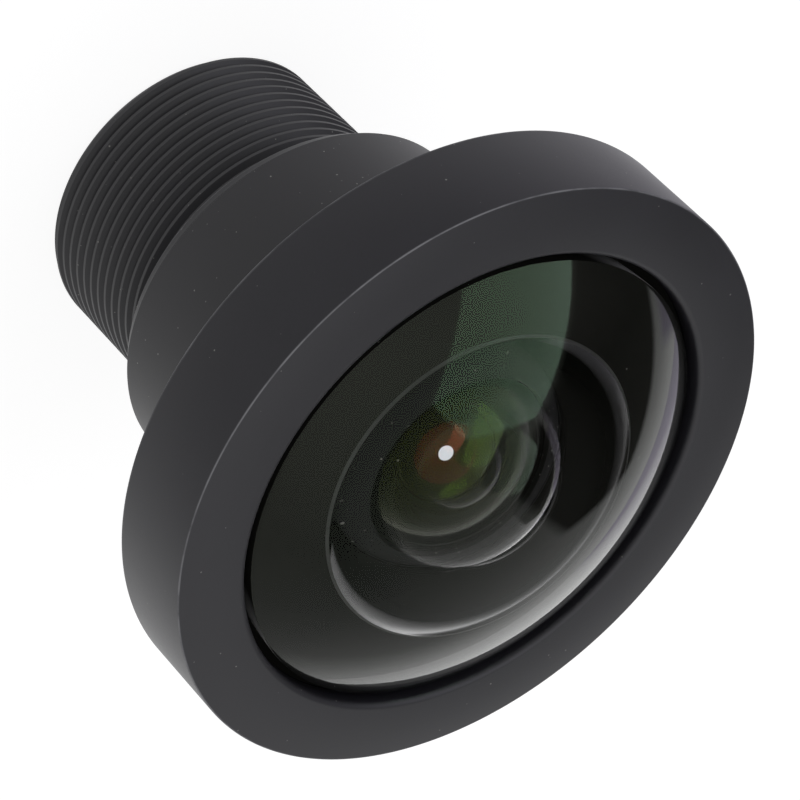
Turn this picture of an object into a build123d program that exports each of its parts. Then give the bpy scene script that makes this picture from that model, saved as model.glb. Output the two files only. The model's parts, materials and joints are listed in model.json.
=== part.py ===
from build123d import *
import math
import os

# Miniature fisheye lens on an M12 fine thread, in millimetres.
# The optical axis is +Z with the front of the lens up, and z = 0 is the rear end of the threaded barrel.
# The pieces stack up from the rear end to the front dome, so every seat follows the piece below it.

# Outside of the barrel
thread_radius = 6.0             # M12 crest radius of the mounting thread
thread_length = 6.75
thread_lead_in = 0.25
relief_width = 0.6
relief_depth = 0.45
shoulder_width = 1.36
body_taper_length = 0.55
body_taper_depth = 0.36
flange_floor = 1.7

# Fits
lens_fit = 0.05                 # radial clearance of glass and spacers in their bores
ring_fit = 0.05                 # radial clearance of the threaded rings
edge_break = 0.08
overrun = 1.0

# Rear ring, its filter and its washer
rear_recess = 1.3
rear_wall = 1.25
ring_thread_step = 0.5
ring_length = 1.9
ring_seat_slack = 0.1
filter_thickness = 0.4
filter_ledge = 0.55
spanner_slot_width = 1.0
spanner_slot_depth = 0.6
spanner_slots = 2
washer_thickness = 0.1

# Rear glass group
rear_seat = 0.6                 # flat ground rim outside each clear aperture
field_edge = 0.65
field_bulge_height = 0.75
field_spacer_length = 1.35
flint_edge = 2.3
cement_bulge_height = 1.54
crown_edge = 0.9
crown_bulge_height = 0.85
rear_spacer_length = 2.7
fourth_edge = 1.1
fourth_bulge_height = 0.92

# Stop and middle of the barrel
web_thickness = 0.6
web_bore_radius = 2.4
stop_thickness = 0.1
stop_hole_radius = 0.4
stop_hole_bevel = 0.06
stop_spacer_length = 0.8

# Front glass group
third_clear_radius = 2.9
third_seat = 0.55
third_edge = 0.8
third_rear_bulge_height = 0.3
third_front_bulge_height = 0.6
front_spacer_length = 1.65
spacer_slack = 0.05
baffle_groove_depth = 0.2
baffle_grooves = 3
baffle_groove_margin = 0.3
second_clear_radius = 4.25
second_seat = 0.35
second_edge = 0.9
second_bulge_height = 1.44
second_centre_thickness = 0.71
second_mouth_radius = 2.9

# Front element, its seat and seals
baffle_thickness = 0.45
baffle_lip = 0.05
front_mouth_radius = 5.3
front_edge = 0.9
front_rim_wall = 0.53
front_rim_bevel = 0.1
front_rim_radius = 9.08
front_bulge_height = 3.2
front_centre_thickness = 1.45
front_bevel = 0.12
lip_gap = 0.32
lip_overlap = 0.4
seal_gap = 0.55
seal_squeeze = 0.005
gasket_thickness = 0.15
gasket_slack = 0.05

# Front cap
cup_wall = 0.45
cup_slack = 0.1
cap_wall = 1.15
cap_lip = 0.8
cap_rise = 0.2
cap_back_bevel = 0.12
cap_lip_bevel = 0.16

# Radii worked out from the outside in, round the rear glass group
body_radius = thread_radius + shoulder_width
relief_radius = thread_radius - relief_depth
shoulder_root_radius = thread_radius + edge_break
ring_bore_radius = thread_radius - rear_wall
rear_bore_radius = ring_bore_radius - ring_thread_step
rear_glass_radius = rear_bore_radius - lens_fit
rear_clear_radius = rear_glass_radius - rear_seat
ring_radius = ring_bore_radius - ring_fit
filter_recess_radius = rear_clear_radius + filter_ledge
filter_radius = filter_recess_radius - lens_fit

# Radii worked out from the inside out, round the front glass group
third_glass_radius = third_clear_radius + third_seat
middle_bore_radius = third_glass_radius + lens_fit
second_glass_radius = second_clear_radius + second_seat
second_bore_radius = second_glass_radius + lens_fit
front_wall_radius = front_rim_radius + front_rim_bevel
lip_radius = front_wall_radius + lip_gap
front_glass_radius = lip_radius + lip_overlap
cup_inner_radius = front_glass_radius + seal_gap
cup_outer_radius = cup_inner_radius + cup_wall
cap_bore_radius = cup_outer_radius + ring_fit
cap_radius = cap_bore_radius + cap_wall

# Heights, stacked from the rear end to the face of the cap
shoulder_z = thread_length + relief_width
ring_rear_z = rear_recess
ring_front_z = ring_rear_z + ring_length
field_rear_z = ring_front_z + washer_thickness
field_front_z = field_rear_z + field_edge
flint_rear_z = field_front_z + field_spacer_length
cement_z = flint_rear_z + flint_edge
crown_front_z = cement_z + crown_edge
fourth_rear_z = crown_front_z + rear_spacer_length
web_rear_z = fourth_rear_z + fourth_edge
web_front_z = web_rear_z + web_thickness
stop_front_z = web_front_z + stop_thickness
third_rear_z = stop_front_z + stop_spacer_length
third_front_z = third_rear_z + third_edge
front_spacer_front_z = third_front_z + front_spacer_length
second_rear_z = front_spacer_front_z + spacer_slack
cup_floor_z = second_rear_z + second_edge
flange_back_z = cup_floor_z - flange_floor
front_rear_z = cup_floor_z + baffle_thickness
front_ledge_z = front_rear_z + front_edge
front_rim_z = front_ledge_z + front_rim_wall + front_bevel
lip_rear_z = front_ledge_z + gasket_thickness
cup_top_z = lip_rear_z - cup_slack
face_inner_z = lip_rear_z + cap_lip
face_outer_z = face_inner_z - cap_rise


def turned(*points):
    """A solid turned round the optical axis from a closed outline of (radius, height) points."""
    with BuildPart() as piece:
        with BuildSketch(Plane.XZ):
            with BuildLine():
                Polyline(*points, close=True)
            make_face()
        revolve(axis=Axis.Z)
    return piece.part


def tube(outer, inner, low, high):
    """A plain ring with square edges."""
    return turned((inner, low), (outer, low), (outer, high), (inner, high))


def surface(clear, rim_z, bulge):
    """Half of a ground spherical surface in section, from the axis out to its rim.

    A bulge above zero domes the surface towards the front, below zero towards the rear.
    """
    sphere = (clear ** 2 + bulge ** 2) / (2 * abs(bulge))
    half = clear / 2
    drop = sphere - math.sqrt(sphere ** 2 - half ** 2)
    height = rim_z + bulge - math.copysign(drop, bulge)
    return ThreePointArc((0, rim_z + bulge), (half, height), (clear, rim_z))


def element(edge, front, rear, outside=()):
    """A glass element of the given edge radius between a front and a rear surface.

    Each surface is (clear radius, rim height, bulge), and a bulge of 0 leaves it flat.
    Points given as outside replace the plain cylindrical edge, from the front rim round to the rear.
    """
    front_clear, front_z, front_rise = front
    rear_clear, rear_z, rear_rise = rear
    rim = list(outside) or [(edge, front_z), (edge, rear_z)]
    with BuildPart() as glass:
        with BuildSketch(Plane.XZ):
            with BuildLine():
                if front_rise:
                    surface(front_clear, front_z, front_rise)
                    start = (front_clear, front_z)
                else:
                    start = (0, front_z)
                if rear_rise:
                    surface(rear_clear, rear_z, rear_rise)
                    end = (rear_clear, rear_z)
                else:
                    end = (0, rear_z)
                Polyline(start, *rim, end)
                Line((0, front_z + front_rise), (0, rear_z + rear_rise))
            make_face()
        revolve(axis=Axis.Z)
    return glass.part


def barrel():
    """The one-piece turned barrel: thread, relief, body, flange floor and the cup for the front element."""
    return turned(
        (ring_bore_radius, 0),
        (thread_radius - thread_lead_in, 0),
        (thread_radius, thread_lead_in),
        (thread_radius, thread_length),
        (relief_radius, thread_length),
        (relief_radius, shoulder_z - relief_width / 2),
        (shoulder_root_radius, shoulder_z),
        (body_radius - body_taper_depth, shoulder_z),
        (body_radius, shoulder_z + body_taper_length),
        (body_radius, flange_back_z),
        (cup_outer_radius, flange_back_z),
        (cup_outer_radius, cup_top_z),
        (cup_inner_radius, cup_top_z),
        (cup_inner_radius, cup_floor_z),
        (second_bore_radius, cup_floor_z),
        (second_bore_radius, second_rear_z),
        (middle_bore_radius, second_rear_z),
        (middle_bore_radius, web_front_z),
        (web_bore_radius, web_front_z),
        (web_bore_radius, web_rear_z),
        (rear_bore_radius, web_rear_z),
        (rear_bore_radius, field_rear_z + ring_seat_slack),
        (ring_bore_radius, field_rear_z + ring_seat_slack),
    )


def front_cap():
    """The screw-on ring that is the whole visible flange: side, face and the lip over the front element."""
    return turned(
        (cap_bore_radius, flange_back_z),
        (cap_radius - cap_back_bevel, flange_back_z),
        (cap_radius, flange_back_z + cap_back_bevel),
        (cap_radius, face_outer_z - edge_break),
        (cap_radius - edge_break, face_outer_z),
        (lip_radius + cap_lip_bevel, face_inner_z),
        (lip_radius, face_inner_z - cap_lip_bevel),
        (lip_radius, lip_rear_z),
        (cap_bore_radius, lip_rear_z),
    )


def front_gasket():
    """The thin washer between the lip of the cap and the ledge of the front element."""
    outer = front_glass_radius - gasket_slack
    return tube(outer, lip_radius, front_ledge_z, lip_rear_z)


def front_o_ring():
    """The round-section seal in the gap between the front element's edge and the cup."""
    section = seal_gap / 2 - seal_squeeze
    middle = front_glass_radius + seal_gap / 2
    return Location((0, 0, cup_floor_z + section)) * Torus(middle, section)


def flare_baffle():
    """The black shim that seats the front element and keeps the second one down."""
    inner = second_clear_radius + baffle_lip
    outer = front_glass_radius - gasket_slack
    return tube(outer, inner, cup_floor_z, front_rear_z)


def front_element():
    """The front meniscus: a high dome, a stepped edge for the cap's lip and a deep hollow behind."""
    hollow = front_rim_z + front_bulge_height - front_centre_thickness - front_rear_z
    outside = [
        (front_wall_radius, front_rim_z - front_bevel),
        (front_wall_radius, front_ledge_z),
        (front_glass_radius, front_ledge_z),
        (front_glass_radius, front_rear_z),
    ]
    dome = (front_rim_radius, front_rim_z, front_bulge_height)
    return element(front_glass_radius, dome, (front_mouth_radius, front_rear_z, hollow), outside)


def second_element():
    """The small meniscus under the front element's hollow."""
    hollow = second_edge + second_bulge_height - second_centre_thickness
    front = (second_clear_radius, cup_floor_z, second_bulge_height)
    return element(second_glass_radius, front, (second_mouth_radius, second_rear_z, hollow))


def front_spacer():
    """The long spacer between the second and third elements, grooved inside against stray light."""
    outer = third_glass_radius
    inner = third_clear_radius + spacer_slack
    pitch = (front_spacer_length - 2 * baffle_groove_margin) / baffle_grooves
    points = [(outer, third_front_z), (outer, front_spacer_front_z), (inner, front_spacer_front_z)]
    for step in range(baffle_grooves):
        top = front_spacer_front_z - baffle_groove_margin - step * pitch
        points.append((inner, top))
        points.append((inner + baffle_groove_depth, top - pitch / 2))
    points.append((inner, third_front_z + baffle_groove_margin))
    points.append((inner, third_front_z))
    return turned(*points)


def third_element():
    """The biconvex element in front of the stop."""
    front = (third_clear_radius, third_front_z, third_front_bulge_height)
    return element(third_glass_radius, front, (third_clear_radius, third_rear_z, -third_rear_bulge_height))


def stop_spacer():
    """The ring that holds the third element off the stop."""
    return tube(third_glass_radius, third_clear_radius + spacer_slack, stop_front_z, third_rear_z)


def aperture_stop():
    """The fixed stop: a thin disc with a bevelled hole."""
    return turned(
        (stop_hole_radius + stop_hole_bevel, web_front_z),
        (third_glass_radius, web_front_z),
        (third_glass_radius, stop_front_z),
        (stop_hole_radius, stop_front_z),
        (stop_hole_radius, stop_front_z - stop_thickness / 2),
    )


def fourth_element():
    """The first element behind the stop, flat towards the web."""
    rear = (rear_clear_radius, fourth_rear_z, -fourth_bulge_height)
    return element(rear_glass_radius, (0, web_rear_z, 0), rear)


def rear_spacer():
    """The spacer between the fourth element and the cemented pair."""
    return tube(rear_glass_radius, rear_clear_radius, crown_front_z, fourth_rear_z)


def doublet_crown():
    """The biconvex half of the cemented pair."""
    front = (rear_clear_radius, crown_front_z, crown_bulge_height)
    outside = [(rear_glass_radius, crown_front_z)]
    return element(rear_glass_radius, front, (rear_glass_radius, cement_z, -cement_bulge_height), outside)


def doublet_flint():
    """The hollow half of the cemented pair, ground to the crown's rear surface."""
    front = (rear_glass_radius, cement_z, -cement_bulge_height)
    outside = [(rear_glass_radius, flint_rear_z)]
    return element(rear_glass_radius, front, (0, flint_rear_z, 0), outside)


def field_spacer():
    """The short spacer between the cemented pair and the field element."""
    return tube(rear_glass_radius, rear_clear_radius, field_front_z, flint_rear_z)


def field_element():
    """The last element, flat towards the sensor."""
    front = (rear_clear_radius, field_front_z, field_bulge_height)
    return element(rear_glass_radius, front, (0, field_rear_z, 0))


def rear_washer():
    """The slip washer that lets the rear ring turn against the field element."""
    return tube(rear_glass_radius, rear_clear_radius, ring_front_z, field_rear_z)


def rear_retaining_ring():
    """The threaded ring that clamps the rear group, with a filter recess and two spanner slots."""
    recess_z = ring_rear_z + filter_thickness
    ring = turned(
        (filter_recess_radius, ring_rear_z),
        (ring_radius - edge_break, ring_rear_z),
        (ring_radius, ring_rear_z + edge_break),
        (ring_radius, ring_front_z),
        (rear_clear_radius, ring_front_z),
        (rear_clear_radius, recess_z),
        (filter_recess_radius, recess_z),
    )
    slot_depth = spanner_slot_depth + overrun
    reach = ring_radius + overrun - filter_radius
    middle = filter_radius + reach / 2
    slot = Box(reach, spanner_slot_width, slot_depth, align=(Align.CENTER, Align.CENTER, Align.MAX))
    slot_top = ring_rear_z + spanner_slot_depth
    for turn in range(spanner_slots):
        ring -= Rotation(0, 0, turn * 360 / spanner_slots) * Location((middle, 0, slot_top)) * slot
    return ring


def ir_cut_filter():
    """The coated glass disc glued in the rear ring's recess."""
    disc = Cylinder(filter_radius, filter_thickness, align=(Align.CENTER, Align.CENTER, Align.MIN))
    return Location((0, 0, ring_rear_z)) * disc


pieces = {
    "barrel": barrel,
    "front_cap": front_cap,
    "front_gasket": front_gasket,
    "front_element": front_element,
    "front_o_ring": front_o_ring,
    "flare_baffle": flare_baffle,
    "second_element": second_element,
    "front_spacer": front_spacer,
    "third_element": third_element,
    "stop_spacer": stop_spacer,
    "aperture_stop": aperture_stop,
    "fourth_element": fourth_element,
    "rear_spacer": rear_spacer,
    "doublet_crown": doublet_crown,
    "doublet_flint": doublet_flint,
    "field_spacer": field_spacer,
    "field_element": field_element,
    "rear_washer": rear_washer,
    "rear_retaining_ring": rear_retaining_ring,
    "ir_cut_filter": ir_cut_filter,
}

os.makedirs("parts", exist_ok=True)
for name, make in pieces.items():
    export_step(make(), f"parts/{name}.step")
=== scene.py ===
"""A miniature fisheye board lens: blackened turned metal, coated glass and fine threads."""

import json
import math

import bmesh
import bpy
from bpy.props import FloatProperty, FloatVectorProperty, IntProperty, PointerProperty
from bpy.types import NodeSocket, Operator, Panel, PropertyGroup
from mathutils import Matrix, Vector

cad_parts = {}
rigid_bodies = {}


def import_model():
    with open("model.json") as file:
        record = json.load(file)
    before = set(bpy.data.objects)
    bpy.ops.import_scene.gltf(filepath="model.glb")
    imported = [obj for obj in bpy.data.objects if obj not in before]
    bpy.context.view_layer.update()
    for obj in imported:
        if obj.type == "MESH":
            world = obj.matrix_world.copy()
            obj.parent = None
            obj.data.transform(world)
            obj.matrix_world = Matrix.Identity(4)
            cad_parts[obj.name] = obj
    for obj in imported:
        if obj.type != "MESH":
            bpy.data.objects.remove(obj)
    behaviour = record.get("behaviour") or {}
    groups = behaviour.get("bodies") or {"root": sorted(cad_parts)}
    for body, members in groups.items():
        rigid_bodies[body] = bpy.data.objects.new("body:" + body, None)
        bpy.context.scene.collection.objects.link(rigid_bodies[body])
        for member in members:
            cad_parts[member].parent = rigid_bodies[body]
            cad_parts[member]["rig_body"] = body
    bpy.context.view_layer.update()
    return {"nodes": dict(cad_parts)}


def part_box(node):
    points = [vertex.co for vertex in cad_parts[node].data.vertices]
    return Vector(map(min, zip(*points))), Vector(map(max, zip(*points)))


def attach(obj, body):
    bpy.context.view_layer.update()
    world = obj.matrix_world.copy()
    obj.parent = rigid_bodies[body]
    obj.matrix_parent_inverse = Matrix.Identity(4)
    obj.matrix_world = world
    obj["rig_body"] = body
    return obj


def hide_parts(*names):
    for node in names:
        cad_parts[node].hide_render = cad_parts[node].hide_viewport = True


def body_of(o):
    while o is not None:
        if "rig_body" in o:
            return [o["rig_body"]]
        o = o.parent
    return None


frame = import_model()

bl_info = {
    "name": "Fisheye Board Lens",
    "version": (1, 0, 0),
    "blender": (4, 5, 0),
    "location": "3D View > Sidebar > Board Lens",
    "description": "Makes a miniature fisheye lens piece by piece, with its threads, coated glass and stage",
    "category": "Add Mesh",
}

MM = 0.001
MICRON = 0.000001
WHITE = (1.0, 1.0, 1.0)


# Sizes read from the frame

def rear(node):
    """The lowest height of a node."""
    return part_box(node)[0].z


def front(node):
    """The highest height of a node."""
    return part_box(node)[1].z


def rim(node):
    """The largest radius of a node."""
    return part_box(node)[1].x


def bore(node):
    """The smallest radius of a node's vertices, which is the bore of a ring."""
    return min(v.co.xy.length for v in frame["nodes"][node].data.vertices)


def length(name, default, description):
    """A size in metres that a user would change."""
    return FloatProperty(
        name=name, description=description, default=default, min=0.0, precision=6, unit="LENGTH"
    )


def share(name, default, description):
    """A share from 0 to 1 that a user would change."""
    return FloatProperty(
        name=name, description=description, default=default, min=0.0, max=1.0, subtype="FACTOR"
    )


def number(name, default, description):
    """A plain number that a user would change."""
    return FloatProperty(name=name, description=description, default=default)


def count(name, default, description, least=1):
    """A whole number that a user would change."""
    return IntProperty(name=name, description=description, default=default, min=least)


def colour(name, default, description):
    """A colour that a user would change."""
    return FloatVectorProperty(
        name=name, description=description, default=default, size=3, min=0.0, max=1.0, subtype="COLOR"
    )


class ThreadSizes(PropertyGroup):
    """The form that the three fine threads share."""

    pitch: length("Pitch", 0.5 * MM, "Travel of one turn")
    depth: length("Depth", 0.21 * MM, "Depth of the thread from crest to root")
    crest_share: share("Crest", 0.26, "Share of the pitch that is flat at the crest")
    root_share: share("Root", 0.10, "Share of the pitch that is flat at the root")
    lead_in: length("Lead-in", 0.15 * MM, "Chamfer where a thread starts")
    run_out: length("Run-out", 0.27 * MM, "Depth of the relief where a thread ends")
    segments: count("Segments", 256, "Facets round every turned piece", 32)


class BarrelSizes(PropertyGroup):
    """The turned barrel."""

    crest_radius: length("Thread radius", 6.0 * MM, "Crest radius of the mounting thread")
    thread_length: length("Thread length", 6.75 * MM, "Length of the mounting thread")
    lead_in: length("Thread lead-in", 0.25 * MM, "Chamfer at the rear end of the mounting thread")
    relief_depth: length("Relief depth", 0.45 * MM, "Depth of the groove between thread and shoulder")
    relief_width: length("Relief width", 0.6 * MM, "Width of that groove")
    root_radius: length("Shoulder root", 6.08 * MM, "Radius where the shoulder's flat face starts")
    body_radius: length("Body radius", 7.36 * MM, "Radius of the plain body")
    taper_length: length("Taper length", 0.55 * MM, "Length of the taper behind the body")
    taper_depth: length("Taper depth", 0.36 * MM, "Depth of that taper")
    taper_line: length("Taper line", 0.04 * MM, "Depth of the fine line turned where the taper ends")
    cup_wall: length("Cup wall", 0.45 * MM, "Wall of the cup round the front element")
    glass_fit: length("Glass fit", 0.05 * MM, "Radial clearance of glass in its bore")
    web_bore: length("Web bore", 2.4 * MM, "Radius of the hole in the web that carries the stop")
    rear_bore: length("Rear bore", 4.75 * MM, "Crest radius of the rear ring's thread in the barrel")
    rear_bore_length: length("Rear bore length", 3.4 * MM, "Length of that thread")
    edge_round: length("Edge round", 0.04 * MM, "Radius of the barrel's broken edges")


class CapSizes(PropertyGroup):
    """The screw-on ring that is the whole visible flange."""

    thread_radius: length("Thread radius", 10.95 * MM, "Crest radius of the cap's inner thread")
    lip_round: length("Lip round", 0.22 * MM, "Radius of the lip's inner edge")
    back_bevel: length("Back bevel", 0.1 * MM, "Bevel of the rear outer edge")
    edge_round: length("Edge round", 0.045 * MM, "Radius of the front outer edge")
    lip: length("Lip", 0.8 * MM, "Thickness of the lip over the front element")
    rise: length("Rise", 0.2 * MM, "How far the face rises from its outer to its inner edge")


class FrontGlassSizes(PropertyGroup):
    """The front element."""

    rim_radius: length("Dome rim", 9.17 * MM, "Radius of the dome's rim")
    rim_height: length("Dome rim height", 19.25 * MM, "Height of the dome's rim above the rear end")
    wall_radius: length("Wall radius", 9.18 * MM, "Radius of the edge above the ledge")
    rim_bevel: length("Rim bevel", 0.03 * MM, "Height of the inked bevel round the dome")
    ledge_height: length("Ledge height", 18.55 * MM, "Height of the ledge under the cap's lip")
    mouth_radius: length("Mouth radius", 5.3 * MM, "Radius of the hollow's mouth")
    mouth_bevel: length("Mouth bevel", 0.016 * MM, "Width of the ground bevel round the mouth")
    centre_thickness: length("Centre thickness", 1.45 * MM, "Thickness of the glass on the axis")


class InnerGlassSizes(PropertyGroup):
    """The glass behind the front element."""

    second_clear: length("Second clear radius", 4.25 * MM, "Radius of the second element's front surface")
    second_mouth: length("Second mouth", 2.9 * MM, "Radius of the second element's hollow")
    second_centre: length("Second centre", 0.71 * MM, "Thickness of the second element on the axis")
    ground_bevel: length("Ground bevel", 0.1 * MM, "Width of the ground bevel round each element")
    cement_gap: length("Cement gap", 0.01 * MM, "Thickness of the cement in the cemented pair")
    seat_gap: length("Seat gap", 0.01 * MM, "Least gap between glass and what carries it")


class SpacerSizes(PropertyGroup):
    """The rings between the glass elements."""

    grooves: count("Grooves", 3, "Light-trap grooves in the front spacer")
    groove_depth: length("Groove depth", 0.2 * MM, "Depth of each groove")
    groove_margin: length("Groove margin", 0.3 * MM, "Plain length at each end of the front spacer")
    stop_hole: length("Stop hole", 0.4 * MM, "Radius of the fixed stop")
    stop_bevel: length("Stop bevel", 0.06 * MM, "Bevel of the stop's hole")


class RearRingSizes(PropertyGroup):
    """The threaded ring at the rear end and its filter."""

    slots: count("Slots", 2, "Spanner slots in the ring")
    slot_width: length("Slot width", 1.0 * MM, "Width of a spanner slot")
    slot_depth: length("Slot depth", 0.6 * MM, "Depth of a spanner slot")
    edge_break: length("Edge break", 0.08 * MM, "Chamfer of the ring's outer edge")
    recess_radius: length("Recess radius", 4.15 * MM, "Radius of the filter's recess")
    filter_bevel: length("Filter bevel", 0.05 * MM, "Bevel of the filter's edges")


class Finish(PropertyGroup):
    """Colours of metal, rubber and glass."""

    anodised: colour("Anodised", (0.0168, 0.0163, 0.0208), "Colour of the black anodised metal")
    # Pale edge colour: bare worn metal, also laid on as a painted highlight along edges
    worn_and_highlit: colour("Worn metal", (0.16, 0.16, 0.17), "Colour of bare metal where an edge is worn")
    shim: colour("Shim", (0.004, 0.004, 0.004), "Colour of the black shims")
    rubber: colour("Rubber", (0.012, 0.012, 0.012), "Colour of the seal")
    dust: colour("Dust", (0.42, 0.41, 0.38), "Colour of the dust specks")
    ink: colour("Ink", (0.0100, 0.0100, 0.0088), "Colour of the black ink on the edges of the glass")
    ground: colour("Ground glass", (0.10, 0.105, 0.095), "Colour of the ground bevels")
    dome_coat: colour("Dome coating", (0.10, 0.125, 0.085), "Tint of the reflection on the dome")
    hollow_coat: colour("Hollow coating", (0.02, 0.018, 0.0), "Tint of the reflection in the hollows")
    inner_coat: colour("Inner coating", (0.11, 0.14, 0.015), "Tint of the reflection on the inner glass")
    red_coat: colour("Red coating", (0.5, 0.07, 0.04), "Tint of the reflection on the middle glass")
    filter_coat: colour("Filter coating", (0.9, 0.35, 0.3), "Tint of the reflection on the filter")
    front_index: number("Front index", 1.72, "Refractive index of the front glass")
    inner_index: number("Inner index", 1.62, "Refractive index of the inner glass")
    ink_index: number("Ink index", 1.15, "Refractive index of the front glass over that of its ink")
    inner_ink_index: number("Inner ink index", 1.0, "The same for the inner glass and its ink")


class StageSizes(PropertyGroup):
    """The floor and the camera."""

    floor_radius: length("Floor radius", 1.5, "Radius of the floor")
    camera_place: FloatVectorProperty(
        name="Camera place", description="Where the camera stands", size=3, unit="LENGTH",
        default=(0.0, -117.885 * MM, 107.998 * MM),
    )
    camera_turn: FloatVectorProperty(
        name="Camera turn", description="How the camera is turned", size=3, subtype="EULER",
        default=tuple(math.radians(a) for a in (-41.878, -33.310, 148.589)),
    )
    focal_length: number("Focal length", 190.545, "Focal length of the camera, in mm")
    sensor: number("Sensor", 36.0, "Width of the camera's sensor, in mm")


# Nodes

class Wiring:
    """Adds nodes to a tree and links them as it goes."""

    def __init__(self, tree):
        self.tree = tree

    def add(self, kind, *values, **settings):
        """One node. Its inputs are filled in order: a socket is linked, a number set, None left alone."""
        node = self.tree.nodes.new(kind)
        for key, value in settings.items():
            setattr(node, key, value)
        for socket, value in zip([s for s in node.inputs if s.enabled], values):
            self.put(socket, value)
        return node

    def put(self, socket, value):
        """Links or sets one input."""
        if isinstance(value, NodeSocket):
            self.tree.links.new(value, socket)
        elif value is not None:
            socket.default_value = value

    def fill(self, node, **values):
        """Fills inputs of a node by name. An underscore stands for the space in a socket's name."""
        for key, value in values.items():
            self.put(node.inputs[key.replace("_", " ")], value)
        return node

    def math(self, operation, *values):
        """The output of one math node."""
        return self.add("ShaderNodeMath", *values, operation=operation).outputs[0]

    def ramp(self, value, start, stop, low=0.0, high=1.0):
        """A value that goes from low to high while another goes from start to stop."""
        return self.add("ShaderNodeMapRange", value, start, stop, low, high).outputs[0]

    def group(self, tree, **values):
        """A shader's node group with its named inputs filled."""
        return self.fill(self.add("ShaderNodeGroup", node_tree=tree), **values)


def numbers(**defaults):
    """Number inputs for a node group, each with its default. An underscore stands for a space."""
    return [(key.replace("_", " "), "NodeSocketFloat", value) for key, value in defaults.items()]


def new_group(name, kind, inputs, outputs):
    """An empty node group. Inputs are (name, socket kind, default), and outputs (name, socket kind)."""
    tree = bpy.data.node_groups.new(name, kind)
    for label, socket_kind, default in inputs:
        socket = tree.interface.new_socket(label, in_out="INPUT", socket_type=socket_kind)
        if default is not None:
            socket.default_value = default
    for label, socket_kind in outputs:
        tree.interface.new_socket(label, in_out="OUTPUT", socket_type=socket_kind)
    wiring = Wiring(tree)
    return tree, wiring, wiring.add("NodeGroupInput").outputs, wiring.add("NodeGroupOutput").inputs


def thread_tree():
    """A helical thread as an open sleeve: both of its end rings are plain circles that other walls join.

    Every fourth row of the grid is the start of a crest. A row runs once round while it climbs one pitch,
    so its end meets the start of the same row one turn on.
    """
    tree, w, given, out = new_group(
        "helical_thread",
        "GeometryNodeTree",
        numbers(
            Crest_Radius=0.0, Side=1.0, Pitch=0.0, Depth=0.0, Crest_Share=0.0, Root_Share=0.0,
            Low=0.0, High=0.0, Lead_In=0.0, Run_Out=0.0,
        ) + [("Segments", "NodeSocketInt", 64), ("Material", "NodeSocketMaterial", None)],
        [("Geometry", "NodeSocketGeometry")],
    )
    rows_a_turn = 4.0
    half_row = 0.5
    side = 1.0
    span = w.math("SUBTRACT", given["High"], given["Low"])
    turns = w.math("ADD", w.math("CEIL", w.math("DIVIDE", span, given["Pitch"])), 1.0)
    row_count = w.math("MULTIPLY", turns, rows_a_turn)
    grid = w.fill(
        w.add("GeometryNodeMeshGrid", side, side),
        Vertices_X=w.math("ADD", given["Segments"], 1.0),
        Vertices_Y=w.math("ADD", row_count, 1.0),
    )
    place = w.add("ShaderNodeSeparateXYZ", w.add("GeometryNodeInputPosition").outputs[0]).outputs
    round_share = w.math("ADD", place["X"], side / 2)
    row = w.math("ROUND", w.math("MULTIPLY", w.math("ADD", place["Y"], side / 2), row_count))
    whole_turns = w.math("FLOOR", w.math("DIVIDE", w.math("ADD", row, half_row), rows_a_turn))
    step = w.math("SUBTRACT", row, w.math("MULTIPLY", whole_turns, rows_a_turn))
    past_crest, past_flank, past_root = (w.math("GREATER_THAN", step, i + half_row) for i in range(3))
    flats = w.math("ADD", given["Crest Share"], given["Root Share"])
    flank = w.math("DIVIDE", w.math("SUBTRACT", 1.0, flats), 2.0)
    climbed = w.math("MULTIPLY", past_crest, given["Crest Share"])
    climbed = w.math("MULTIPLY_ADD", past_flank, flank, climbed)
    climbed = w.math("MULTIPLY_ADD", past_root, given["Root Share"], climbed)
    climbed = w.math("ADD", w.math("ADD", climbed, whole_turns), w.math("SUBTRACT", round_share, 1.0))
    height = w.math("MULTIPLY_ADD", climbed, given["Pitch"], given["Low"])
    from_low = w.math("SUBTRACT", height, given["Low"])
    from_high = w.math("SUBTRACT", given["High"], height)
    cut = w.math("MULTIPLY", past_flank, given["Depth"])
    cut = w.math("MAXIMUM", cut, w.math("SUBTRACT", given["Lead In"], from_low))
    for from_end, end_cut in ((from_low, given["Lead In"]), (from_high, given["Run Out"])):
        at_end = w.math("LESS_THAN", from_end, MICRON)
        cut = w.add("GeometryNodeSwitch", at_end, cut, end_cut, input_type="FLOAT").outputs[0]
    height = w.math("MINIMUM", w.math("MAXIMUM", height, given["Low"]), given["High"])
    radius = w.math("SUBTRACT", given["Crest Radius"], w.math("MULTIPLY", cut, given["Side"]))
    angle = w.math("MULTIPLY", round_share, math.tau)
    east = w.math("MULTIPLY", radius, w.math("COSINE", angle))
    north = w.math("MULTIPLY", radius, w.math("SINE", angle))
    moved = w.add("ShaderNodeCombineXYZ", east, north, height).outputs[0]
    shaped = w.fill(w.add("GeometryNodeSetPosition", grid.outputs["Mesh"]), Position=moved)
    merged = w.fill(w.add("GeometryNodeMergeByDistance", shaped.outputs[0]), Distance=MICRON / 5)
    real = w.add("GeometryNodeRealizeInstances", merged.outputs[0])
    painted = w.fill(w.add("GeometryNodeSetMaterial", real.outputs[0]), Material=given["Material"])
    w.put(out["Geometry"], painted.outputs[0])
    return tree


# Shared surface effects

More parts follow.
